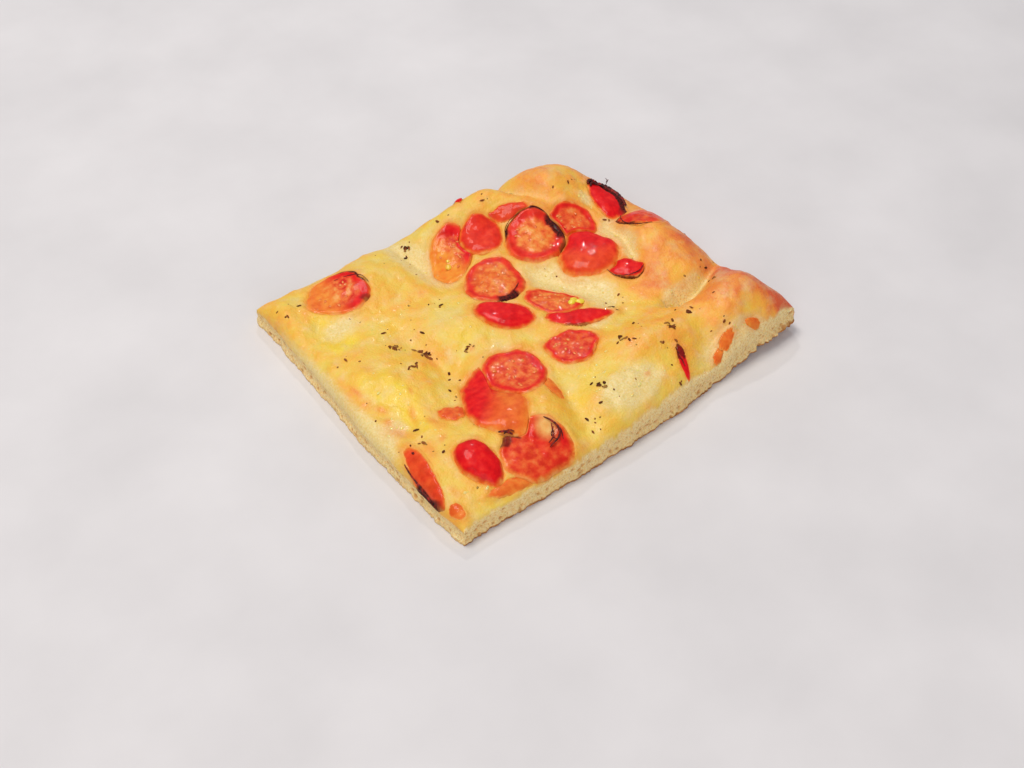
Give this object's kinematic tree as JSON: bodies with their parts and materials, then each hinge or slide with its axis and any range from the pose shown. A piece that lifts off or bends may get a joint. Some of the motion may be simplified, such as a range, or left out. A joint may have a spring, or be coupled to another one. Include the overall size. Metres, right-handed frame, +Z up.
{
  "type": "tomato focaccia slab",
  "caption": "Cut rectangular slab of tomato focaccia with sunken roasted cherry tomatoes and oregano, one rounded pan-crust side and a lifted front corner.",
  "frame": {"origin": "centre of the bounding box, at the level of the flat underside", "axes": "+X along the long side towards the rounded pan crust, +Y towards the back cut side, +Z up through the toppings"},
  "size_m": [0.1774, 0.1474, 0.0277],
  "materials": {
    "dough": "oiled golden bread skin with pale porous crumb at the cut sides, satin",
    "tomato_skin": "wet red tomato skin, glossy",
    "tomato_flesh": "cut roasted tomato flesh, moist",
    "tomato_char": "shrunken tomato skin roasted dark at its edges, satin"
  },
  "bodies": {
    "root": {"bread": "dough", "slice_back": "tomato_flesh", "slice_centre": "tomato_flesh", "slice_front": "tomato_flesh", "half_left_back": "tomato_flesh", "half_back": "tomato_skin", "slice_yellow_seed": "tomato_flesh", "dome_right": "tomato_skin", "scrap_back": "tomato_skin", "half_cut_right": "tomato_flesh", "crescent_right": "tomato_skin", "charred_right": "tomato_char", "half_crust_edge": "tomato_skin", "dome_centre": "tomato_skin", "flesh_centre": "tomato_flesh", "strip_centre": "tomato_skin", "mass_front": "tomato_skin", "half_front": "tomato_skin", "scrap_left": "tomato_flesh", "strip_middle": "tomato_flesh", "dome_front": "tomato_skin", "half_front_edge": "tomato_skin", "strip_front_edge": "tomato_flesh", "strip_left_edge": "tomato_skin", "scrap_corner": "tomato_flesh", "scrap_slope_upper": "tomato_flesh", "scrap_slope_lower": "tomato_flesh", "strip_front_slope": "tomato_char", "scrap_corner_lobe": "tomato_flesh", "tip_back_edge": "tomato_char"}
  },
  "joints": []
}
